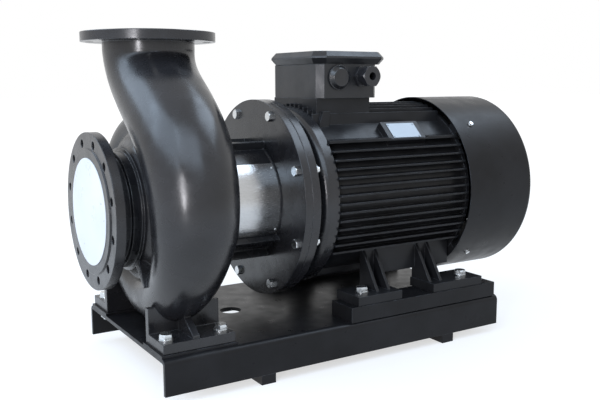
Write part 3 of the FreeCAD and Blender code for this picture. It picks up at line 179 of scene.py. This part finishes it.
def metal(name, colour, rough, grain=180, stretch=(1, 1, 1), edge=0.0006):
    """Bare metal with a fine uneven finish."""
    paint = Paint(name)
    streaks = paint.ramp(paint.noise(grain, 4, stretch), 0.3, 0.7, 0, 1)
    dark = tuple(0.82 * c for c in colour)
    paint.link(paint.mix(streaks, dark, colour), paint.shader.inputs["Base Color"])
    paint.link(paint.ramp(streaks, 0, 1, rough - 0.06, rough + 0.08), paint.shader.inputs["Roughness"])
    paint.link(paint.bump(streaks, 0.0002, 0.25, paint.rounded(edge)), paint.shader.inputs["Normal"])
    paint.set(Metallic=1.0)
    return paint.material


def plain(name, colour, rough, grain=120, depth=0.0003, edge=0.0008):
    """Moulded, rubber or ceramic surface with a slight grain."""
    paint = Paint(name)
    tone = paint.ramp(paint.noise(grain / 6, 4), 0.3, 0.7, 0, 1)
    dark = tuple(0.88 * c for c in colour)
    paint.link(paint.mix(tone, dark, colour), paint.shader.inputs["Base Color"])
    paint.link(paint.ramp(paint.noise(grain / 3, 3), 0.3, 0.7, rough - 0.04, rough + 0.06),
               paint.shader.inputs["Roughness"])
    paint.link(paint.bump(paint.noise(grain, 3), depth, 0.3, paint.rounded(edge)),
               paint.shader.inputs["Normal"])
    return paint.material


def make_finishes():
    """One material for each slot of the record."""
    return {
        "casting_black": black_paint("cast_paint", black_cast, 0.25, 0.45, 0.00003, 0.0004, 0.0035),
        "motor": black_paint("motor_paint", black_motor, 0.34, 0.2, 0.00003, 0.0003, 0.002),
        "box": black_paint("box_paint", black_motor, 0.38, 0.4, 0.00022, 0.0009, 0.002),
        "sheet_black": black_paint("sheet_paint", black_sheet, 0.32, 0.17, 0.00001, 0.0001, 0.002),
        "zinc": metal("zinc_plate", zinc_grey, 0.28, 240),
        "stainless": metal("polished_sheet", steel_grey, 0.2, 60, (1, 22, 22)),
        "machined_iron": metal("machined_iron", (0.3, 0.29, 0.28), 0.4),
        "shaft_steel": metal("ground_steel", (0.55, 0.55, 0.56), 0.22, 60, (30, 1, 1)),
        "bearing_steel": metal("bearing_steel", (0.7, 0.7, 0.71), 0.12),
        "lamination": metal("lamination", (0.16, 0.16, 0.17), 0.5, 90, (24, 1, 1)),
        "copper": metal("copper_winding", (0.6, 0.28, 0.12), 0.42, 120),
        "brass": metal("brass", (0.72, 0.53, 0.22), 0.3),
        "rubber": plain("rubber", (0.012, 0.012, 0.012), 0.62),
        "ceramic": plain("ceramic", (0.75, 0.74, 0.7), 0.25),
        "carbon": plain("carbon", (0.03, 0.03, 0.032), 0.4),
        "fan_plastic": plain("fan_plastic", (0.012, 0.012, 0.014), 0.3),
        "cap_white": plain("cap_white", cap_white, 0.3, 60, 0.0002),
        "plate_silver": metal("blank_plate", (0.28, 0.31, 0.34), 0.5, 90, (1, 18, 18), 0.0003),
    }


def dress_nodes(finishes):
    """Gives each solid of the model the finish of its slot."""
    slot_of = {row["node"]: row["material_slot"] for row in frame["record"]["subparts"]}
    slot_of.update({name: "box" for name in box_nodes})
    slot_of.update({name: "motor" for name in motor_nodes})
    for name, obj in nodes.items():
        obj.data.materials.clear()
        obj.data.materials.append(finishes[slot_of[name]])


def background_ray(tree):
    """1 for what is seen by the camera, in a reflection or through glass, and 0 for light."""
    path = tree.nodes.new("ShaderNodeLightPath")
    seen = path.outputs["Is Camera Ray"]
    for ray in ("Is Glossy Ray", "Is Transmission Ray"):
        either = tree.nodes.new("ShaderNodeMath")
        either.operation = "MAXIMUM"
        tree.links.new(seen, either.inputs[0])
        tree.links.new(path.outputs[ray], either.inputs[1])
        seen = either.outputs[0]
    return seen


def make_floor():
    """Large pale floor that takes the object's shadow and fades into the white surroundings; its glow is
    dimmer near the object, painting shade round it.
    """
    bpy.ops.mesh.primitive_plane_add(size=floor_size, location=(0, 0, 0))
    floor = bpy.context.object
    floor.name = "floor"
    paint = Paint("floor_paint")
    paint.shader.inputs["Base Color"].default_value = (*floor_grey, 1)
    paint.set(Roughness=0.9, Specular_IOR_Level=0.0)
    away = paint.node("ShaderNodeVectorMath", operation="LENGTH")
    paint.link(paint.coords.outputs["Object"], away.inputs[0])
    glow = paint.node("ShaderNodeEmission")
    # Glow grows with distance from the object: painted shade near it, painted light far out where the lamps
    # fall off
    paint.link(paint.ramp(away.outputs["Value"], 0, far_floor, glow_near, glow_far), glow.inputs["Strength"])
    both = paint.node("ShaderNodeAddShader")
    paint.link(paint.shader.outputs[0], both.inputs[0])
    paint.link(glow.outputs[0], both.inputs[1])
    choice = paint.node("ShaderNodeMixShader")
    paint.link(background_ray(paint.tree), choice.inputs[0])
    paint.link(paint.shader.outputs[0], choice.inputs[1])
    paint.link(both.outputs[0], choice.inputs[2])
    paint.link(choice.outputs[0], paint.tree.nodes["Material Output"].inputs[0])
    floor.data.materials.append(paint.material)


def make_world():
    """White surroundings, and a cool overcast sky for the light."""
    world = bpy.data.worlds.new("overcast")
    bpy.context.scene.world = world
    world.use_nodes = True
    tree = world.node_tree
    tree.nodes.clear()
    white = tree.nodes.new("ShaderNodeBackground")
    white.inputs["Color"].default_value = (1, 1, 1, 1)
    sky = tree.nodes.new("ShaderNodeBackground")
    sky.inputs["Color"].default_value = (*sky_colour, 1)
    sky.inputs["Strength"].default_value = sky_strength
    choice = tree.nodes.new("ShaderNodeMixShader")
    tree.links.new(background_ray(tree), choice.inputs[0])
    tree.links.new(sky.outputs[0], choice.inputs[1])
    tree.links.new(white.outputs[0], choice.inputs[2])
    out = tree.nodes.new("ShaderNodeOutputWorld")
    tree.links.new(choice.outputs[0], out.inputs["Surface"])


def make_lights():
    """Flat lamps round the object, each turned to its middle."""
    middle = Vector(lamp_target)
    for name, (turn, rise, away, size, power, colour) in lamps.items():
        data = bpy.data.lights.new(name, "AREA")
        data.shape = "RECTANGLE"
        data.size, data.size_y = size
        data.energy = power
        data.color = colour
        lamp = bpy.data.objects.new(name, data)
        bpy.context.collection.objects.link(lamp)
        level = cos(radians(rise))
        toward = Vector((level * cos(radians(turn)), level * sin(radians(turn)), sin(radians(rise))))
        lamp.location = middle + away * toward
        lamp.rotation_euler = toward.to_track_quat("Z", "Y").to_euler()
        lamp.visible_camera = False


def make_camera():
    data = bpy.data.cameras.new("camera")
    data.sensor_width = sensor_width
    data.lens = camera_lens
    camera = bpy.data.objects.new("camera", data)
    bpy.context.collection.objects.link(camera)
    turn = Matrix.Rotation(radians(-camera_turn), 4, "Z")
    drop = Matrix.Rotation(radians(90 - camera_drop), 4, "X")
    roll = Matrix.Rotation(radians(camera_roll), 4, "Z")
    camera.matrix_world = Matrix.Translation(camera_at) @ turn @ drop @ roll
    bpy.context.scene.camera = camera


dress_nodes(make_finishes())
make_floor()
make_world()
make_lights()
make_camera()
bpy.context.scene.view_settings.view_transform = "Standard"
